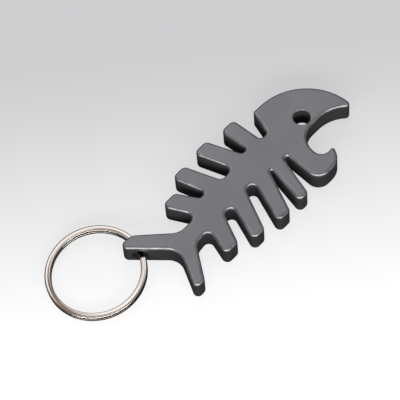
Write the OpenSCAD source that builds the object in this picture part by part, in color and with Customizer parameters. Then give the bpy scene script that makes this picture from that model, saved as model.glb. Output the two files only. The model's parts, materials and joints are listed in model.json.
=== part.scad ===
// Key ring bottle opener in the shape of a fish skeleton.
// The body lies flat on z = 0 with its head towards +X and its tail towards -X.
// A split ring passes through a bore drilled in the plane of the body, across one tail lobe.
// All sizes are in millimetres.

/* [Body plate] */
// Thickness of the plate
body_t = 6; // [5:0.1:7.5]
// Width of the broken edge round both faces
edge_break = 0.4; // [0.2:0.05:0.5]
// Largest corner radius at a slot floor
slot_r = 1.5; // [0.8:0.1:1.6]
// Corner radius at a rib tip
rib_tip_r = 1.4; // [1:0.1:1.5]

/* [Ribs above the spine, from tail to head] */
// Middle of each rib at its foot
up_foot_x = [-12.6, -5.85, 3.25, 8.75];
// Middle of each rib at its tip
up_tip_x = [-16.35, -9.15, -0.65, 8.25];
// Height of each rib tip above the spine line
up_reach = [10.25, 13.65, 14.45, 13.55];
// Height of the slot floor on each rib's head side
up_floor = [4.8, 4.3, 5.5, 4.8];

/* [Ribs below the spine, from tail to head] */
// Middle of each rib at its foot
low_foot_x = [-13.3, -5.1, 2.9, 8.2];
// Middle of each rib at its tip
low_tip_x = [-16.2, -9.3, -1.7, 5.3];
// Depth of each rib tip below the spine line
low_reach = [10.3, 12.6, 13.8, 13.8];
// Depth of the slot floor on each rib's head side
low_floor = [2.4, 1.9, 3.0, 3.1];

/* [Rib widths] */
// Width of each rib at its foot, measured along the spine
rib_foot_w = [5.5, 5.1, 5.1, 4.3];
// Width of each upper rib at its tip, measured along the spine
up_tip_w = [5.1, 4.5, 4.65, 4.5];
// Width of each lower rib at its tip, measured along the spine
low_tip_w = [4.45, 4.15, 4.35, 3.3];
// Distance from the spine line at which the foot widths are measured
foot_y = 3; // [2.8:0.1:3.2]

/* [Head and mouth] */
// Radius of the round forehead
head_r = 15.05; // [14.6:0.05:15.4]
// Middle of the forehead arc along the spine
head_x = 17.7; // [17.4:0.1:18.1]
// Middle of the forehead arc across the spine
head_y = -3.75; // [-4:0.05:-3.5]
// Foot of the back of the head
nape_x = 13; // [12.8:0.1:13.4]
// Through hole that makes the eye
eye_d = 4.2; // [3.5:0.1:5]
// Place of the eye along the spine
eye_x = 21.7; // [20:0.1:23]
// Place of the eye across the spine
eye_y = 1.3; // [1:0.1:3]
// Height of the beak's underside, where it bears on the top of a cap
beak_y = -1.85; // [-2.3:0.05:-1.6]
// How far the beak's tip hangs below its underside
beak_hook = 4.35; // [4.2:0.05:4.6]
// Deepest point of the mouth along the spine
mouth_x = 16.6; // [16.2:0.1:17]
// Height of the jaw's upper edge
lip_y = -9.7; // [-10.2:0.1:-9.6]
// Front of the lip that catches under a cap's rim
lip_x = 20.6; // [20:0.1:21.5]
// Lowest edge of the jaw
jaw_y = -13.65; // [-14.5:0.05:-13.2]
// Back of the jaw at the last slot
jaw_x = 11.4; // [11.2:0.1:11.6]
// Where the straight crown of the head begins
crown_x = 15.2; // [15:0.1:15.5]
// Where the beak's underside bends down to the hook
bend_x = 27.9; // [27.6:0.1:28.2]
// Lower front corner of the jaw
chin_x = 18.8; // [18.4:0.1:19.2]
// Lower back corner of the jaw
heel_x = 10.9; // [10.7:0.1:11.1]
// How far the beak's tip stands back from the forehead arc
tip_back = 0.1; // [0:0.05:0.2]

/* [Corner radii of the head] */
// Corner where the crown meets the back of the head
crown_r = 0.8; // [0.6:0.1:1]
// Tip of the beak
beak_tip_r = 1; // [0.7:0.05:1.1]
// Bend in the beak's underside
bend_r = 9.5; // [7:0.5:10]
// Upper corner of the mouth
throat_r = 5.4; // [4.5:0.1:5.6]
// Lower corner of the mouth
gum_r = 2.3; // [2:0.1:2.5]
// Tip of the lip
lip_r = 0.65; // [0.5:0.05:0.65]
// Lower front corner of the jaw
chin_r = 4.8; // [3:0.1:4.9]
// Lower back corner of the jaw
heel_r = 3.2; // [2.8:0.1:3.4]

/* [Tail] */
// Tip corner of the bored lobe
lobe_tip = [-34.1, 10.25];
// Outer shoulder of the bored lobe
lobe_shoulder = [-29.05, 10.25];
// Where the fork's two edges would meet
fork = [-24.5, -1.1];
// Tip corner of the plain lobe
fin_tip = [-29.9, -11.2];
// Outer shoulder of the plain lobe
fin_shoulder = [-26.5, -11.2];
// Height of the notch between the bored lobe and the first rib
up_notch = [-21, 2.1];
// Notch between the plain lobe and the first rib
low_notch = [-20.5, -3.05];
// How much nearer the spine that notch is at the rib
notch_rise = 0.5; // [0.3:0.1:0.6]
// Corner radii of the bored lobe's tip and shoulder
lobe_r = [1.3, 3];
// Corner radii of the plain lobe's tip and shoulder
fin_r = [1.2, 1.6];
// Radius where the two lobes part
fork_r = 4; // [3.4:0.1:4.2]
// Radii of the upper notch, at the lobe and at the rib
up_notch_r = [4, 1.5];
// Radii of the lower notch, at the lobe and at the rib
low_notch_r = [3, 1.3];

/* [Ring bore] */
// Air between the ring's wire and the wall of its bore
ring_clear = 0.32; // [0.3:0.01:0.4]
// Middle of the bore in the plane of the body
bore_at = [-29.9, 7.8];
// Direction of the bore, measured from the spine
bore_angle = 73; // [68:1:78]

/* [Split ring] */
// Outside diameter of the ring
ring_od = 24.4; // [23:0.2:28]
// Width of the flattened wire, across the ring
wire_w = 1.5; // [1.2:0.1:1.6]
// Thickness of one turn of the wire
wire_t = 0.85; // [0.6:0.05:0.9]
// Air left between the two turns
turn_gap = 0.05; // [0.03:0.01:0.1]
// Broken edges of the flattened wire
wire_edge = 0.2; // [0.1:0.05:0.3]
// Angle of the ring over which the wire steps from one turn to the other
step_angle = 30; // [24:1:40]
// Turn of the ring in its own plane, which places the two ends of the wire
ring_ends = 60; // [40:5:150]
// How far the wire sits off the middle of its bore, towards the head
ring_sag = 0.45; // [0.3:0.05:0.5]
// Air left between the ring's far end and the table
table_gap = 0.05; // [0.02:0.01:0.1]

/* [Hidden] */
$fn = 96;
eps = 0.1;
n_ribs = 4;
// A slot floor's corners take up this share of its width at most.
floor_share = 0.45;
// Two neighbouring corners take up this share of the edge between them at most.
edge_share = 0.99;
// An arc piece reaches past its chord by this share of the way to the arc's middle.
inset_share = 0.15;
// An arc piece is this much larger than its corner, so that it crosses the straight edges cleanly.
arc_proud = 0.002;
// The broken edge is this much deeper along an arc, so that it laps over its neighbours cleanly.
arc_deeper = 0.003;
line_lap = 0.02;
bore_reach = 16;
step_stations = 6;
step_slim = 0.01;
step_lap = 2;
ring_r = (ring_od - wire_w) / 2;
turn_pitch = wire_t + turn_gap;
stack = turn_pitch + wire_t;
bore_d = 2 * (norm([wire_w / 2 + ring_sag, stack / 2 - wire_edge]) + ring_clear);
// Tilt at which the ring's far end comes down to the table.
ring_tilt = asin(((body_t - stack) / 2 - table_gap) / (ring_r - ring_sag + ring_od / 2));
body_color = [0.47, 0.47, 0.49];
ring_color = [0.80, 0.78, 0.74];

// Where a rib's flank crosses height y, given its middle and width at its foot and at its tip.
function mix(a, b, k) = a + (b - a) * k;
function flank(foot_x, foot_w, tip_x, tip_w, reach, side, y) =
    let (k = (y - foot_y) / (reach - foot_y))
    mix(foot_x, tip_x, k) + side * mix(foot_w, tip_w, k) / 2;
function up_flank(i, side, y) =
    flank(up_foot_x[i], rib_foot_w[i], up_tip_x[i], up_tip_w[i], up_reach[i], side, y);
function low_flank(i, side, y) =
    flank(low_foot_x[i], rib_foot_w[i], low_tip_x[i], low_tip_w[i], low_reach[i], side, y);

// A slot floor is rounded as far as its width allows.
function floor_r(w) = min(slot_r, floor_share * w);
function rib_corners(y, xa, xb) = [[xa, y, rib_tip_r], [xb, y, rib_tip_r]];

// Slot on the head side of rib i, between xa and xb at its floor.
function slot_corners(xa, xb, y) = [[xa, y, floor_r(xb - xa)], [xb, y, floor_r(xb - xa)]];
function up_slot_end(i) = i == n_ribs - 1 ? nape_x : up_flank(i + 1, -1, up_floor[i]);
function low_slot_end(i) = i == n_ribs - 1 ? jaw_x : low_flank(i + 1, -1, low_floor[i]);

upper_edge = [for (i = [0:n_ribs - 1]) each concat(
    rib_corners(up_reach[i], up_flank(i, -1, up_reach[i]), up_flank(i, 1, up_reach[i])),
    slot_corners(up_flank(i, 1, up_floor[i]), up_slot_end(i), up_floor[i]))];
lower_edge = [for (i = [0:n_ribs - 1]) each concat(
    rib_corners(-low_reach[i], low_flank(i, -1, low_reach[i]), low_flank(i, 1, low_reach[i])),
    slot_corners(low_flank(i, 1, low_floor[i]), low_slot_end(i), -low_floor[i]))];

head_edge = [
    [crown_x, head_y + head_r, crown_r],
    [head_x + head_r, head_y + head_r, head_r],
    [head_x + head_r - tip_back, beak_y - beak_hook, beak_tip_r],
    [bend_x, beak_y, bend_r],
    [mouth_x, beak_y, throat_r],
    [mouth_x, lip_y, gum_r],
    [lip_x, lip_y, lip_r],
    [chin_x, jaw_y, chin_r],
    [heel_x, jaw_y, heel_r]];

low_notch_end = low_notch[1] + notch_rise;
tail_edge = [
    [low_flank(0, -1, -low_notch_end), low_notch_end, low_notch_r[1]],
    [low_notch[0], low_notch[1], low_notch_r[0]],
    [fin_shoulder[0], fin_shoulder[1], fin_r[1]],
    [fin_tip[0], fin_tip[1], fin_r[0]],
    [fork[0], fork[1], fork_r],
    [lobe_tip[0], lobe_tip[1], lobe_r[0]],
    [lobe_shoulder[0], lobe_shoulder[1], lobe_r[1]],
    [up_notch[0], up_notch[1], up_notch_r[0]],
    [up_flank(0, -1, up_notch[1]), up_notch[1], up_notch_r[1]]];

function reversed(v) = [for (i = [len(v) - 1:-1:0]) v[i]];
// Corners of the outline, clockwise from the first rib above the spine, each as [x, y, radius].
corners = concat(upper_edge, head_edge, reversed(lower_edge), tail_edge);
n = len(corners);

function xy(i) = let (c = corners[(i + n) % n]) [c[0], c[1]];
function unit(v) = v / norm(v);
function back(i) = unit(xy(i - 1) - xy(i));
function ahead(i) = unit(xy(i + 1) - xy(i));
function half(i) = acos(back(i) * ahead(i)) / 2;
// A corner's radius is cut down where an edge beside it is too short for both its corners.
function want(i) = corners[(i + n) % n][2] / tan(half(i));
function edge_fit(i) = min(1, edge_share * norm(xy(i + 1) - xy(i)) / (want(i) + want(i + 1)));
function rad(i) = corners[i][2] * min(edge_fit(i - 1), edge_fit(i));
function turns_in(i) = cross(-back(i), ahead(i)) < 0;
function arc_mid(i) = xy(i) + unit(back(i) + ahead(i)) * rad(i) / sin(half(i));
function arc_from(i) = xy(i) + back(i) * rad(i) / tan(half(i));
function arc_to(i) = xy(i) + ahead(i) * rad(i) / tan(half(i));
function chord_mid(i) = (arc_from(i) + arc_to(i)) / 2;

// Flat piece under corner i's arc, reaching a little past its chord and past both its ends.
module arc_piece(i) {
    r = rad(i) + arc_proud;
    lap = 2 * sqrt(2 * r * arc_proud);
    function past_end(end, along) = end + along * lap + unit(end - arc_mid(i)) * 2 * arc_proud;
    intersection() {
        translate(arc_mid(i)) circle(r);
        polygon([
            mix(chord_mid(i), arc_mid(i), inset_share),
            past_end(arc_from(i), back(i)),
            mix(arc_mid(i), xy(i), 1 + inset_share),
            past_end(arc_to(i), ahead(i))]);
    }
}

// The slab: its outline with cut corners, then each outer arc added and each inner arc cut.
module slab() {
    difference() {
        union() {
            linear_extrude(body_t) polygon([for (i = [0:n - 1]) each [arc_from(i), arc_to(i)]]);
            for (i = [0:n - 1]) if (turns_in(i)) linear_extrude(body_t) arc_piece(i);
        }
        for (i = [0:n - 1]) if (!turns_in(i))
            translate([0, 0, -eps]) linear_extrude(body_t + 2 * eps) arc_piece(i);
    }
}

// Cross-section of the cutter that breaks the edge at height z; up is 1 for the top face.
module edge_profile(z, up) {
    reach = edge_break + eps;
    polygon([[-eps, z - up * reach], [reach, z + up * eps], [-eps, z + up * eps]]);
}

// Cutter along the straight edge that follows corner i, lapping into the arcs at both its ends.
module line_cutter(i, z, up) {
    p = arc_to(i) - ahead(i) * line_lap;
    run = arc_from((i + 1) % n) - arc_to(i);
    translate([p[0], p[1], 0]) rotate([0, 0, atan2(run[1], run[0])]) rotate([90, 0, 90])
        linear_extrude(norm(run) + 2 * line_lap) mirror([1, 0]) edge_profile(z, up);
}

// Cutter along corner i's arc.
module arc_cutter(i, z, up) {
    start = (turns_in(i) ? arc_to(i) : arc_from(i)) - arc_mid(i);
    side = turns_in(i) ? 1 : 0;
    r = rad(i) + (1 - 2 * side) * arc_deeper;
    translate([arc_mid(i)[0], arc_mid(i)[1], 0]) rotate([0, 0, atan2(start[1], start[0])])
        rotate_extrude(angle = 180 - 2 * half(i))
            translate([r, 0]) mirror([side, 0]) edge_profile(z, up);
}

module plate() {
    difference() {
        slab();
        for (i = [0:n - 1]) {
            line_cutter(i, body_t, 1);
            arc_cutter(i, body_t, 1);
            line_cutter(i, 0, -1);
            arc_cutter(i, 0, -1);
        }
    }
}

// The eye, drilled through, with its rims broken like the outline's edges.
module eye_cutter() {
    wide = eye_d + 2 * (edge_break + eps);
    translate([0, 0, -eps]) cylinder(d = eye_d, h = body_t + 2 * eps);
    translate([0, 0, -eps]) cylinder(d1 = wide, d2 = eye_d, h = edge_break + eps);
    translate([0, 0, body_t - edge_break]) cylinder(d1 = eye_d, d2 = wide, h = edge_break + eps);
}

module fish_body() {
    color(body_color) difference() {
        plate();
        translate([eye_x, eye_y, 0]) eye_cutter();
        translate([bore_at[0], bore_at[1], body_t / 2]) rotate([90, 0, bore_angle - 90])
            cylinder(d = bore_d, h = bore_reach, center = true);
    }
}

// Cross-section of the flattened wire, taken slim on every side.
function wire_section(r, z, slim) = let (w = wire_w / 2 - slim, h = wire_t / 2 - slim, e = wire_edge) [
    [r - w, z - h + e], [r - w + e, z - h], [r + w - e, z - h], [r + w, z - h + e],
    [r + w, z + h - e], [r + w - e, z + h], [r - w + e, z + h], [r - w, z + h - e]];

module turn(z) {
    rotate_extrude(angle = 360 - step_angle) polygon(wire_section(ring_r, z, 0));
}

// Rising length of wire that joins the lower turn to the upper one. It is a hair slimmer than
// the turns and runs a little way into both.
function step_at(k) = -step_angle * (1 - k / step_stations);
function step_rise(k) = turn_pitch * (1 - cos(180 * k / step_stations)) / 2 - turn_pitch / 2;
function step_ring(a, z) =
    [for (p = wire_section(ring_r, z, step_slim)) [p[0] * cos(a), p[0] * sin(a), p[1]]];
module step_piece() {
    m = len(wire_section(ring_r, 0, 0));
    rings = concat(
        [step_ring(-step_angle - step_lap, -turn_pitch / 2)],
        [for (k = [0:step_stations]) step_ring(step_at(k), step_rise(k))],
        [step_ring(step_lap, turn_pitch / 2)]);
    last = len(rings) - 1;
    polyhedron(
        [for (ring = rings) each ring],
        concat(
            [[for (j = [m - 1:-1:0]) j]],
            [for (k = [0:last - 1], j = [0:m - 1]) let (a = k * m, b = a + m, j2 = (j + 1) % m)
                [a + j, a + j2, b + j2, b + j]],
            [[for (j = [0:m - 1]) last * m + j]]));
}

// The ring hangs in the bore, with its far end lowered onto the table.
module split_ring() {
    color(ring_color)
        translate([bore_at[0], bore_at[1], body_t / 2])
        rotate([0, 0, bore_angle + 90]) rotate([0, ring_tilt, 0])
        translate([ring_r - ring_sag, 0, 0]) rotate([0, 0, ring_ends]) {
            turn(-turn_pitch / 2);
            turn(turn_pitch / 2);
            step_piece();
        }
}

fish_body();
split_ring();
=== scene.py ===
# %% [markdown]
# # A fish-skeleton bottle opener on its split ring
# The real thing is two pieces: a flat plate of aluminium cut to the shape of a fish's skeleton,
# tumbled so that its edges are soft and then given a satin graphite coat, and a nickel-plated
# split ring that hangs in a bore drilled across one lobe of the tail.
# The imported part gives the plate's thickness, the bore's place and the hinge. This script lays the
# finished surfaces over it.

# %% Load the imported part
import json
import math

import bmesh
import bpy
import numpy as np
from mathutils import Matrix, Vector


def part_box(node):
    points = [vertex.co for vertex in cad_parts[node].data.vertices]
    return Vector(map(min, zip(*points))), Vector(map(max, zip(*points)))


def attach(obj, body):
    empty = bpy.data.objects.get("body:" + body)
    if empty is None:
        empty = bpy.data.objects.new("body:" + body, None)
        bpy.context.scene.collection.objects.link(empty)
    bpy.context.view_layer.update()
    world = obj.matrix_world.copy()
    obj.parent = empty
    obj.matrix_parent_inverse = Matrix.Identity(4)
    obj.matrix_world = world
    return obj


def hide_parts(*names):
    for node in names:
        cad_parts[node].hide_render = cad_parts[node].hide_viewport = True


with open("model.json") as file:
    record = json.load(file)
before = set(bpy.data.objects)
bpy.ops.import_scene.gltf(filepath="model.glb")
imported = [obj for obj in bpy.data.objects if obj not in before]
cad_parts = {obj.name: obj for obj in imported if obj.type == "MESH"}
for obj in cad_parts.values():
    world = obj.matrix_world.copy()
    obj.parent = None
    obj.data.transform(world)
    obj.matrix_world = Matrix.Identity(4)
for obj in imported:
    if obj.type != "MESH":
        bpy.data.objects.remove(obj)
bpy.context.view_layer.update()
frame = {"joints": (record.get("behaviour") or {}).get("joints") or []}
MM = 0.001

# %% [markdown]
# ## The outline of the plate
# A cut plate is known by the corners of its outline. Each corner is a point and a radius, and
# the outline runs straight from one rounded corner to the next. The ribs repeat, so their corners
# are worked out from where each rib stands, how far it leans and how wide it is; only the head
# and the tail are written corner by corner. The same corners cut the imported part, so the finished
# plate's walls lie on its walls. Tracing the outline as one long list of points would also draw it,
# but nobody could then change a rib.

# %% Sizes of the ribs, in millimetres
FOOT_Y = 3.0
FOOT_W = np.array([5.5, 5.1, 5.1, 4.3])
SLOT_R, RIB_TIP_R, FLOOR_SHARE = 1.5, 1.4, 0.45
UPPER = dict(
    foot=np.array([-12.6, -5.85, 3.25, 8.75]), tip=np.array([-16.35, -9.15, -0.65, 8.25]),
    reach=np.array([10.25, 13.65, 14.45, 13.55]), floor=np.array([4.8, 4.3, 5.5, 4.8]),
    tip_w=np.array([5.1, 4.5, 4.65, 4.5]), foot_w=FOOT_W, side=1, last_x=13.0)
LOWER = dict(
    foot=np.array([-13.3, -5.1, 2.9, 8.2]), tip=np.array([-16.2, -9.3, -1.7, 5.3]),
    reach=np.array([10.3, 12.6, 13.8, 13.8]), floor=np.array([2.4, 1.9, 3.0, 3.1]),
    tip_w=np.array([4.45, 4.15, 4.35, 3.3]), foot_w=FOOT_W, side=-1, last_x=11.4)
print("ribs on each side:", len(FOOT_W))


def flank(ribs, edge, y):
    """Where each rib's tail side (edge -1) or head side (edge 1) crosses the distance y from the spine:
    the rib's middle and width both change in step from its foot to its tip."""
    k = (y - FOOT_Y) / (ribs["reach"] - FOOT_Y)
    middle = ribs["foot"] + (ribs["tip"] - ribs["foot"]) * k
    return middle + edge * (ribs["foot_w"] + (ribs["tip_w"] - ribs["foot_w"]) * k) / 2


def rib_corners(ribs):
    """Two corners at each rib's tip and two at the floor of the slot on its head side. A slot ends at
    the next rib's tail side, and the last one at the head."""
    reach, floor, side = ribs["reach"], ribs["floor"], ribs["side"]
    slot_from = flank(ribs, 1, floor)
    next_rib = {key: np.roll(ribs[key], -1) for key in ("foot", "tip", "reach", "tip_w", "foot_w")}
    slot_to = flank(next_rib, -1, floor)
    slot_to[-1] = ribs["last_x"]
    floor_r = np.minimum(SLOT_R, FLOOR_SHARE * (slot_to - slot_from))
    tip_r = np.full(len(reach), RIB_TIP_R)
    rows = [
        (flank(ribs, -1, reach), side * reach, tip_r), (flank(ribs, 1, reach), side * reach, tip_r),
        (slot_from, side * floor, floor_r), (slot_to, side * floor, floor_r)]
    return np.stack([np.stack(r, -1) for r in rows], 1).reshape(-1, 3)


# %% Corners of the head and the tail, and the whole outline
HEAD = np.array([
    [15.2, 11.3, 0.8], [32.75, 11.3, 15.0],      # crown and forehead
    [32.65, -6.2, 1.0], [27.9, -1.85, 9.5],      # beak: its tip and the bend above it
    [16.6, -1.85, 5.4], [16.6, -9.7, 2.3],       # mouth
    [20.6, -9.7, 0.65], [18.8, -13.65, 4.8],      # lip and chin
    [10.9, -13.65, 3.2]])                        # heel of the jaw
LOW_NOTCH_Y, UP_NOTCH_Y = -2.55, 2.1
TAIL = np.array([
    [flank(LOWER, -1, -LOW_NOTCH_Y)[0], LOW_NOTCH_Y, 1.3], [-20.5, -3.05, 3.0],
    [-26.5, -11.2, 1.6], [-29.9, -11.2, 1.2],    # plain lobe
    [-24.5, -1.1, 4.0],                          # fork
    [-34.1, 10.25, 1.3], [-29.05, 10.25, 3.0],   # bored lobe
    [-21.0, UP_NOTCH_Y, 4.0], [flank(UPPER, -1, UP_NOTCH_Y)[0], UP_NOTCH_Y, 1.5]])
CORNERS = np.vstack([rib_corners(UPPER), HEAD, rib_corners(LOWER)[::-1], TAIL])
print("outline corners:", len(CORNERS))

# %% Round the corners
ARC_STEPS = 20
ANY_ROUND = 100.0       # room for an edge round in an inner corner: more than it can ever need


def rounded(corners, steps):
    """Points, outward normals and roundness round a polygon with rounded corners. Each corner's arc has
    its middle on the corner's bisector, at the corner's radius from both edges, and is stepped evenly
    in angle. Roundness is the corner's radius where metal stands out, and ANY_ROUND where it doesn't."""
    xy, r = corners[:, :2], corners[:, 2]
    back = np.roll(xy, 1, 0) - xy
    ahead = np.roll(xy, -1, 0) - xy
    back /= np.linalg.norm(back, axis=1)[:, None]
    ahead /= np.linalg.norm(ahead, axis=1)[:, None]
    half = np.arccos((back * ahead).sum(1)) / 2
    bisector = back + ahead
    bisector /= np.linalg.norm(bisector, axis=1)[:, None]
    middle = xy + bisector * (r / np.sin(half))[:, None]
    turn = np.sign(back[:, 0] * ahead[:, 1] - back[:, 1] * ahead[:, 0])
    outward = np.arctan2(-bisector[:, 1], -bisector[:, 0])
    sweep = (np.pi / 2 - half)[:, None] * np.linspace(1, -1, steps)[None] * turn[:, None]
    angle = outward[:, None] + sweep
    ray = np.stack([np.cos(angle), np.sin(angle)], -1)
    points = middle[:, None] + r[:, None, None] * ray
    normals = ray * turn[:, None, None]
    room = np.repeat(np.where(turn > 0, r, ANY_ROUND), steps)
    return points.reshape(-1, 2), normals.reshape(-1, 2), room


outline, outline_normal, outline_room = rounded(CORNERS, ARC_STEPS)
print("outline points:", len(outline), "mm:", np.ptp(outline, axis=0).round(2))

# %% [markdown]
# ## The plate
# A tumbled edge is a quarter round. So the plate's side is one profile, a quarter round, a straight
# wall and another quarter round, carried along the outline: every point of the outline is moved
# inwards by the profile's inset and put at the profile's height. Where a corner is sharper than the
# round, the round is made smaller there, as it is on the real plate. A bevel modifier could do the
# same on a cut slab, but it fails in the narrow slots. The two flat faces fill the last rings. The
# eye is the same profile carried round a small circle, with a finer round. The bore is cut through
# at the end, because it crosses walls that stand at different angles to it.

# %% The side's profile
PLATE_T = (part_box("fish_body")[1][2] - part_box("fish_body")[0][2]) / MM
EDGE_R = 0.8        # quarter round left by the tumbling
BAND = 0.06         # flat strip inside it, which keeps the flat faces' shading flat
EDGE_STEPS = 9
SNUG = 0.85         # a round takes up this share of a sharp corner at most
print("plate thickness mm:", round(PLATE_T, 3))


def side_profile():
    """Rows of (inset, drop, face, worn) from the upper face down to the lower one. inset and drop are
    those of a quarter circle, face is 1 on the upper half and -1 on the lower, worn is 1 half-way
    round the edge and 0 on the flats."""
    phi = np.linspace(0, np.pi / 2, EDGE_STEPS)
    inset = EDGE_R * (1 - np.sin(phi))
    drop = EDGE_R * (1 - np.cos(phi))
    upper = np.stack([inset, drop, np.ones(EDGE_STEPS), np.sin(2 * phi)], 1)
    rows = np.vstack([[EDGE_R + BAND, 0, 1, 0], upper])
    return np.vstack([rows, (rows * [1, 1, -1, 1])[::-1]])


def carried(points, normals, profile, share):
    """Grid of points: row j is the ring moved inwards, against its normals, by profile j's inset, at
    profile j's drop from its face. share makes both smaller, point by point."""
    inset, drop = (profile[:, i][:, None] * share[None] for i in (0, 1))
    face = profile[:, 2][:, None]
    flat = points[None] - normals[None] * inset[..., None]
    height = PLATE_T / 2 + face * (PLATE_T / 2 - drop)
    return np.concatenate([flat, height[..., None]], -1)


# %% Carry it round the outline and round the eye
EYE = np.array([21.7, 1.3])
EYE_R, EYE_SHARE, EYE_STEPS = 2.1, 0.4, 96
around = np.linspace(0, 2 * np.pi, EYE_STEPS, endpoint=False)
eye_ray = np.stack([np.cos(around), np.sin(around)], 1)
profile = side_profile()
outline_share = np.minimum(1, SNUG * outline_room / (EDGE_R + BAND))
shell = carried(outline, outline_normal, profile, outline_share)
eye_wall = carried(EYE + EYE_R * eye_ray, -eye_ray, profile, np.full(EYE_STEPS, EYE_SHARE))
n_rows, n_out, n_eye = len(profile), len(outline), EYE_STEPS
print("plate grid:", shell.shape, "eye grid:", eye_wall.shape)


def ring_quads(rows, cols, first):
    """Quads of a grid whose rows are closed rings."""
    j, i = np.meshgrid(np.arange(rows - 1), np.arange(cols), indexing="ij")
    k = (i + 1) % cols
    quads = np.stack([j * cols + i, j * cols + k, (j + 1) * cols + k, (j + 1) * cols + i], -1)
    return quads.reshape(-1, 4) + first


# %% Make the mesh and close its flat faces
def new_piece(name, verts, faces):
    """A mesh object at the origin, from points in millimetres and lists of point numbers."""
    mesh = bpy.data.meshes.new(name)
    mesh.from_pydata((verts * MM).tolist(), [], faces)
    piece = bpy.data.objects.new(name, mesh)
    bpy.context.scene.collection.objects.link(piece)
    return piece


def close_face(bm, rings):
    """Fills the flat face between the outline's ring and the eye's ring with triangles."""
    edges = []
    for ring in rings:
        loop = [bm.verts[int(i)] for i in ring]
        edges += [bm.edges.get((a, b)) for a, b in zip(loop, loop[1:] + loop[:1])]
    bmesh.ops.triangle_fill(bm, use_beauty=True, use_dissolve=False, edges=edges)


points = np.vstack([shell.reshape(-1, 3), eye_wall.reshape(-1, 3)])
sides = np.vstack([ring_quads(n_rows, n_out, 0), ring_quads(n_rows, n_eye, n_rows * n_out)])
plate = new_piece("fish_plate", points, sides.tolist())
worn = np.concatenate([np.repeat(profile[:, 3], n_out), np.repeat(profile[:, 3], n_eye)])
plate.data.attributes.new("worn_edge", "FLOAT", "POINT").data.foreach_set("value", worn)
upper = (np.arange(n_out), n_rows * n_out + np.arange(n_eye))
lower = (upper[0] + (n_rows - 1) * n_out, upper[1] + (n_rows - 1) * n_eye)
bm = bmesh.new()
bm.from_mesh(plate.data)
bm.verts.ensure_lookup_table()
close_face(bm, upper)
close_face(bm, lower)
bmesh.ops.recalc_face_normals(bm, faces=bm.faces)
bm.to_mesh(plate.data)
bm.free()
print("plate closed:", len(plate.data.polygons), "faces")

# %% [markdown]
# ## The bore for the ring
# The bore is drilled through the tail lobe along the hinge that the ring swings on, so its place and
# direction are read from the joint. Its width follows from the two turns of wire that lie in it:
# half the diagonal that they need off the bore's axis, plus the air round them. A boolean with a
# long drill cuts it as the real drill did.

# %% Sizes of the ring, and the bore that clears it
swing = frame["joints"][0]
bore_at = np.array(swing["pos_m"]) / MM
bore_axis = Vector(swing["axis"])
RING_OD, WIRE_W, WIRE_T, TURN_GAP = 24.4, 1.5, 0.85, 0.05
WIRE_EDGE = 0.2         # what the wire's round corners take off its height in the bore
RING_SAG = 0.45         # the wire's middle lies this far from the bore's axis
RING_CLEAR = 0.32       # air round the wire in the bore
PLATE_SHARP = 40        # degrees between two faces from which their edge is drawn sharp
stack = 2 * WIRE_T + TURN_GAP
bore_r = math.hypot(WIRE_W / 2 + RING_SAG, stack / 2 - WIRE_EDGE) + RING_CLEAR
DRILL_L, DRILL_SIDES = 16, 64
bpy.ops.mesh.primitive_cylinder_add(vertices=DRILL_SIDES, radius=bore_r * MM, depth=DRILL_L * MM)
drill = bpy.context.object
along_bore = bore_axis.to_track_quat("Z", "Y").to_matrix().to_4x4()
drill.matrix_world = Matrix.Translation(bore_at * MM) @ along_bore
cut = plate.modifiers.new("bore", "BOOLEAN")
cut.object, cut.operation, cut.solver = drill, "DIFFERENCE", "EXACT"
bpy.context.view_layer.update()
drilled = bpy.data.meshes.new_from_object(plate.evaluated_get(bpy.context.evaluated_depsgraph_get()))
plate.modifiers.clear()
plate.data = drilled
bpy.data.objects.remove(drill)
plate.data.shade_smooth()
plate.data.set_sharp_from_angle(angle=math.radians(PLATE_SHARP))
plate.modifiers.new("flat faces stay flat", "WEIGHTED_NORMAL").keep_sharp = True
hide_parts("fish_body")
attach(plate, "fish_body")
print("plate:", len(plate.data.vertices), "points, bore radius mm", round(bore_r, 3))

# %% [markdown]
# ## The split ring
# A split ring is spring wire, rolled flat and wound nearly twice, with a short step where one turn
# climbs over the other. It is modelled as it is made: one section carried along one path. The path
# is a circle whose height rises from the lower turn to the upper one over the step, and stays level
# elsewhere. Two plain rings would look alike from afar, but the step is what makes it a split ring.

# %% Wire section and path
RING_R = (RING_OD - WIRE_W) / 2
PITCH = WIRE_T + TURN_GAP
STEP_ANGLE = 30         # degrees over which the wire climbs from the lower turn to the upper one
SECTION_POWER = 3.4     # 2 would be an ellipse, and a higher power is squarer
TABLE_GAP = 0.05        # air under the ring's far side
ring_tilt = math.asin(((PLATE_T - stack) / 2 - TABLE_GAP) / (RING_R - RING_SAG + RING_OD / 2))


def wire_section(count):
    """Closed section of the flattened wire, (across, up): a superellipse, so that its flat sides run
    into round corners."""
    a = np.linspace(0, 2 * np.pi, count, endpoint=False)
    rim = np.stack([np.cos(a), np.sin(a)], 1)
    return np.sign(rim) * np.abs(rim) ** (2 / SECTION_POWER) * [WIRE_W / 2, WIRE_T / 2]


def ring_path(count):
    """Angle and height along the wire: nearly two turns, with a cosine rise over the step."""
    degrees = np.linspace(0, 720 - STEP_ANGLE, count)
    k = np.clip((degrees - (360 - STEP_ANGLE)) / STEP_ANGLE, 0, 1)
    return np.radians(degrees), -PITCH / 2 * np.cos(np.pi * k)


WIRE_RINGS, WIRE_SIDES, END_TAPER = 560, 36, 0.8
theta, rise = ring_path(WIRE_RINGS)
section = wire_section(WIRE_SIDES)
size = np.ones(WIRE_RINGS)
size[[0, -1]] = END_TAPER
across = size[:, None] * section[None, :, 0]
above = size[:, None] * section[None, :, 1]
radius = RING_R + across
level = rise[:, None] + above
coil = np.stack([radius * np.cos(theta)[:, None], radius * np.sin(theta)[:, None], level], -1)
print("coil:", coil.shape, "turns", round(theta[-1] / (2 * np.pi), 3))

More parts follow.
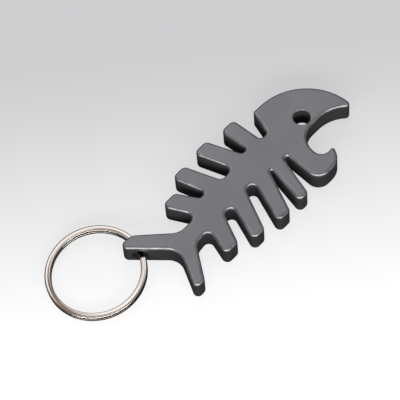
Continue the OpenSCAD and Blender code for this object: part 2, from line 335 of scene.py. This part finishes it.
# %% [markdown]
# The ring hangs through its bore and leans down to the table: it is moved sideways until its wire
# lies in the bore, tilted until its far side is just above the table, and turned to stand across the
# bore's axis.

# %% Hang it in its bore
ENDS_TURN = 195         # degrees that turn the wire's two ends into the bore, where they don't show
WIRE_SHARP = 50         # degrees between two faces from which their edge is drawn sharp


def turned(axis, degrees):
    """Rotation matrix about one axis."""
    return np.array(Matrix.Rotation(math.radians(degrees), 3, axis))


bore_angle = math.degrees(math.atan2(bore_axis.y, bore_axis.x))
hung = coil.reshape(-1, 3) @ turned("Z", ENDS_TURN).T + [RING_R - RING_SAG, 0, 0]
hung = hung @ turned("Y", math.degrees(ring_tilt)).T @ turned("Z", bore_angle + 90).T + bore_at
ends = [list(range(WIRE_SIDES)), list(range((WIRE_RINGS - 1) * WIRE_SIDES, WIRE_RINGS * WIRE_SIDES))]
ring = new_piece("ring_wire", hung, ring_quads(WIRE_RINGS, WIRE_SIDES, 0).tolist() + ends)
bm = bmesh.new()
bm.from_mesh(ring.data)
bmesh.ops.recalc_face_normals(bm, faces=bm.faces)
bm.to_mesh(ring.data)
bm.free()
ring.data.shade_smooth()
ring.data.set_sharp_from_angle(angle=math.radians(WIRE_SHARP))
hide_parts("split_ring")
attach(ring, "split_ring")

# %% [markdown]
# The ring's finish follows the wire, not the room's coordinates: drawing lines and painted reflection
# streaks run along it, and painted shade sits where the two turns face each other. So the wire carries
# its own coordinates. One attribute holds the length along the wire and the place in its section, and
# has no seam, where a UV map round a wire would have one. The other says how far a point faces the other
# turn.

# %% Coordinates that follow the wire
LENGTH_SCALE = 0.02     # lengthways squeeze that draws spots out into lines
along = np.broadcast_to((theta * RING_R * LENGTH_SCALE)[:, None], across.shape)
wire_place = np.stack([along, across, above], -1)
groove = np.clip(-np.sign(rise)[:, None] * above / (WIRE_T / 2), 0, 1)
attributes = ring.data.attributes
attributes.new("wire_place", "FLOAT_VECTOR", "POINT").data.foreach_set("vector", wire_place.ravel())
attributes.new("groove", "FLOAT", "POINT").data.foreach_set("value", groove.ravel())
print("wire length mm:", round(theta[-1] * RING_R, 1))

# %% [markdown]
# ## Finishes
# Each finish is one shader with its colour, roughness and bump made from noise. Helpers keep the
# node trees short: one adds a noise, one a colour ramp and one a plain change of range.


# %% Helpers for the node trees
def new_material(name):
    """A material and its node tree's parts."""
    mat = bpy.data.materials.new(name)
    mat.use_nodes = True
    return mat, mat.node_tree.nodes, mat.node_tree.links, mat.node_tree.nodes["Principled BSDF"]


def noise(nodes, links, place, scale, detail):
    """Noise between 0 and 1; scale counts spots per unit of place."""
    n = nodes.new("ShaderNodeTexNoise")
    n.inputs["Scale"].default_value = scale
    n.inputs["Detail"].default_value = detail
    links.new(place, n.inputs["Vector"])
    return n.outputs["Fac"]


def ramp(nodes, links, value, stops):
    """Colours along a value, as (position, colour) stops."""
    r = nodes.new("ShaderNodeValToRGB")
    while len(r.color_ramp.elements) < len(stops):
        r.color_ramp.elements.new(0.5)
    for element, (where, colour) in zip(r.color_ramp.elements, stops):
        element.position = where
        element.color = (*colour, 1)
    links.new(value, r.inputs["Fac"])
    return r.outputs["Color"]


def ranged(nodes, links, value, low, high):
    """Puts a value from 0..1 into low..high."""
    m = nodes.new("ShaderNodeMapRange")
    m.inputs["To Min"].default_value = low
    m.inputs["To Max"].default_value = high
    links.new(value, m.inputs["Value"])
    return m.outputs["Result"]


def product(nodes, links, a, b):
    """One value times another."""
    m = nodes.new("ShaderNodeMath")
    m.operation = "MULTIPLY"
    links.new(a, m.inputs[0])
    links.new(b, m.inputs[1])
    return m.outputs["Value"]


def blended(nodes, links, share, first, second):
    """First colour where share is 0, second where it is 1."""
    m = nodes.new("ShaderNodeMix")
    m.data_type = "RGBA"
    links.new(share, m.inputs["Factor"])
    links.new(first, m.inputs["A"])
    links.new(second, m.inputs["B"])
    return m.outputs["Result"]


def bumped(nodes, links, shader, height, strength, depth):
    """Bump of the given depth in metres."""
    b = nodes.new("ShaderNodeBump")
    b.inputs["Strength"].default_value = strength
    b.inputs["Distance"].default_value = depth
    links.new(height, b.inputs["Height"])
    links.new(b.outputs["Normal"], shader.inputs["Normal"])


def attribute(nodes, name):
    """Node that reads one of the piece's own attributes."""
    a = nodes.new("ShaderNodeAttribute")
    a.attribute_name = name
    return a


# %% [markdown]
# ## Satin graphite coat
# The coat is a dark anodised film over a tumbled, bead-blasted plate. Three things show on the real
# one: slow cloudy changes of tone, the fine grain of the blasting, and a paler line along the edges,
# where handling thins the film. The edge line is broken up by noise, because wear is never even.

# %% Coat
CLOUD_SCALE, GRAIN_SCALE, RUB_SCALE = 70, 5200, 420
coat, nodes, links, shader = new_material("graphite_coat")
place = nodes.new("ShaderNodeTexCoord").outputs["Object"]
cloud = noise(nodes, links, place, CLOUD_SCALE, detail=3)
grain = noise(nodes, links, place, GRAIN_SCALE, detail=2)
rub = noise(nodes, links, place, RUB_SCALE, detail=4)
film = ramp(nodes, links, cloud, [(0.3, (0.196, 0.194, 0.208)), (0.7, (0.226, 0.223, 0.236))])
thin = ramp(nodes, links, grain, [(0.3, (0.42, 0.415, 0.42)), (0.7, (0.50, 0.49, 0.49))])
rubbed = ramp(nodes, links, rub, [(0.35, (0.25, 0.25, 0.25)), (0.65, (0.9, 0.9, 0.9))])
wear = product(nodes, links, rubbed, attribute(nodes, "worn_edge").outputs["Fac"])
links.new(blended(nodes, links, wear, film, thin), shader.inputs["Base Color"])
links.new(ranged(nodes, links, grain, low=0.34, high=0.46), shader.inputs["Roughness"])
bumped(nodes, links, shader, grain, strength=0.12, depth=0.00003)
shader.inputs["Metallic"].default_value = 0.8
plate.data.materials.clear()
plate.data.materials.append(coat)
print("coat:", len(nodes), "nodes")

# %% [markdown]
# ## Nickel plate
# Nickel is warmer than chrome, and on a cheap ring the lines left by drawing and rolling the wire
# show through it in its roughness and bump. The dark and pale streaks along the wire in its colour
# are painted reflections of the room. Both are noise on the wire's own coordinates, squeezed
# lengthways. Where the two turns face each other in the groove, the colour is painted shade, dark brown.

# %% Nickel
LINE_SCALE, BLOTCH_SCALE, REFLECTION_STREAK_SCALE = 9, 2.2, 2.6
nickel, nodes, links, shader = new_material("nickel_plate")
wire = attribute(nodes, "wire_place").outputs["Vector"]
lines = noise(nodes, links, wire, LINE_SCALE, detail=3)
blotch = noise(nodes, links, wire, BLOTCH_SCALE, detail=2)
# Painted reflection: this noise draws dark and pale streaks along the wire into the nickel's colour.
reflection_streak = noise(nodes, links, wire, REFLECTION_STREAK_SCALE, detail=2)
# The nickel's colour, from brown-dark painted reflection streaks to pale nickel.
bright = ramp(nodes, links, reflection_streak, [
    (0.36, (0.17, 0.12, 0.095)), (0.47, (0.56, 0.49, 0.44)), (0.60, (0.84, 0.79, 0.75))])
# Painted shade: dark brown where the two turns face each other in the groove, mottled by noise.
groove_shade = ramp(nodes, links, blotch, [(0.3, (0.06, 0.04, 0.03)), (0.7, (0.16, 0.11, 0.08))])
facing = attribute(nodes, "groove").outputs["Fac"]
# Share of painted shade, from none to full on the faces where the two turns meet.
groove_shade_share = ramp(nodes, links, facing, [(0.55, (0, 0, 0)), (0.95, (1, 1, 1))])
# The nickel's colour with its painted reflection streaks, and painted shade in the groove between the
# turns.
links.new(blended(nodes, links, groove_shade_share, bright, groove_shade), shader.inputs["Base Color"])
links.new(ranged(nodes, links, lines, low=0.14, high=0.30), shader.inputs["Roughness"])
bumped(nodes, links, shader, lines, strength=0.06, depth=0.00002)
shader.inputs["Metallic"].default_value = 1.0
ring.data.materials.clear()
ring.data.materials.append(nickel)
print("nickel:", len(nodes), "nodes")

# %% [markdown]
# ## Camera
# The camera looks down at the flat plate from well above it, turned so that the fish swims up to the
# right, and a little rolled. A long lens from about half a metre keeps the plate's edges nearly
# parallel.

# %% Camera
ELEVATION, ROLL, TURN = 59.08, -5.70, 42.59
DISTANCE, LENS, SENSOR = 0.5447, 204.9, 36
NEAREST, FARTHEST = 0.01, 20
AIM = Vector((-9.0, 6.83, 0)) * MM
e, r, t = (math.radians(v) for v in (ELEVATION, ROLL, TURN))
back = Vector((-math.sin(t) * math.cos(e), -math.cos(t) * math.cos(e), math.sin(e)))
right = Vector((math.cos(t), -math.sin(t), 0))
up = back.cross(right)
cam = bpy.data.objects.new("camera", bpy.data.cameras.new("camera"))
bpy.context.scene.collection.objects.link(cam)
cam.data.lens, cam.data.sensor_width = LENS, SENSOR
cam.data.clip_start, cam.data.clip_end = NEAREST, FARTHEST
cam_x = right * math.cos(r) + up * math.sin(r)
cam_y = up * math.cos(r) - right * math.sin(r)
turned_camera = Matrix((cam_x, cam_y, back)).transposed().to_4x4()
cam.matrix_world = Matrix.Translation(AIM + back * DISTANCE) @ turned_camera
bpy.context.scene.camera = cam
print("camera at", [round(v, 3) for v in cam.matrix_world.translation])

# %% [markdown]
# ## Table
# The sweep under the part goes from pale grey at the far side to white at the near side. The
# gradient is laid along the table's own coordinates, and it is mostly the table's own glow, so that
# only a faint shadow shows where the part touches. The part neither mirrors the table nor is lit by
# it.

# %% Table
TABLE_SIZE = 4000
FAR, NEAR = 62.0, -66.0     # millimetres from the aim, away from the camera and towards it
table_points = np.array([[-1, -1, 0], [1, -1, 0], [1, 1, 0], [-1, 1, 0]]) * TABLE_SIZE / 2
table = new_piece("table", table_points, [[0, 1, 2, 3]])
table_mat, nodes, links, shader = new_material("pale_table")
spot = nodes.new("ShaderNodeMapping")
spot.vector_type = "TEXTURE"
spot.inputs["Location"].default_value = AIM + Vector((-back.x, -back.y, 0)).normalized() * NEAR * MM
spot.inputs["Rotation"].default_value = (0, 0, math.atan2(-back.y, -back.x))
spot.inputs["Scale"].default_value = [(FAR - NEAR) * MM] * 3
links.new(nodes.new("ShaderNodeTexCoord").outputs["Object"], spot.inputs["Vector"])
depth = nodes.new("ShaderNodeSeparateXYZ")
links.new(spot.outputs["Vector"], depth.inputs["Vector"])
sweep = ramp(nodes, links, depth.outputs["X"], [
    (0.19, (0.93, 0.93, 0.93)), (0.516, (0.675, 0.675, 0.675)),
    (0.734, (0.518, 0.518, 0.528)), (0.85, (0.472, 0.472, 0.482))])
shader.inputs["Base Color"].default_value = (0.2, 0.2, 0.2, 1)
links.new(sweep, shader.inputs["Emission Color"])
shader.inputs["Emission Strength"].default_value = 1.0
shader.inputs["Roughness"].default_value = 0.9
shader.inputs["Specular IOR Level"].default_value = 0.0
table.data.materials.append(table_mat)
table.visible_glossy = False
table.visible_diffuse = False
print("table gradient over mm:", FAR - NEAR)

# %% [markdown]
# ## Light
# The flat upper face mirrors whatever stands opposite the camera at the camera's own height, so one
# broad softbox there sets its tone. A rounded near edge mirrors what stands lower on the camera's
# side, so a low, wide strip light there draws the bright lines along the edges. The walls mirror
# the room below the table top, which is dark, so they stay dark.

# %% Lights
def softbox(name, azimuth, elevation, distance, width, height, power):
    """A rectangular area light that looks at the part. azimuth is measured in degrees from the
    camera's side, distance and sizes are in metres and power is in watts."""
    turn_by = math.radians(azimuth)
    lift = math.radians(elevation)
    side = Vector((back.x, back.y, 0)).normalized()
    side.rotate(Matrix.Rotation(turn_by, 3, "Z"))
    where = AIM + (side * math.cos(lift) + Vector((0, 0, math.sin(lift)))) * distance
    light = bpy.data.objects.new(name, bpy.data.lights.new(name, "AREA"))
    light.data.shape = "RECTANGLE"
    light.data.size, light.data.size_y, light.data.energy = width, height, power
    aimed = (where - AIM).to_track_quat("Z", "Y").to_matrix().to_4x4()
    light.matrix_world = Matrix.Translation(where) @ aimed
    bpy.context.scene.collection.objects.link(light)


softbox("far_softbox", azimuth=196, elevation=57, distance=0.6, width=0.5, height=0.5, power=0.85)
softbox("near_strip", azimuth=0, elevation=31, distance=1.2, width=2.4, height=0.35, power=17.0)
world = bpy.data.worlds.new("room")
bpy.context.scene.world = world
world.use_nodes = True
nodes, links = world.node_tree.nodes, world.node_tree.links
height = nodes.new("ShaderNodeSeparateXYZ")
links.new(nodes.new("ShaderNodeTexCoord").outputs["Generated"], height.inputs["Vector"])
room = ramp(nodes, links, height.outputs["Z"], [
    (0.0, (0.01, 0.01, 0.01)), (0.12, (0.20, 0.20, 0.21))])
links.new(room, nodes["Background"].inputs["Color"])
bpy.context.scene.view_settings.view_transform = "Standard"
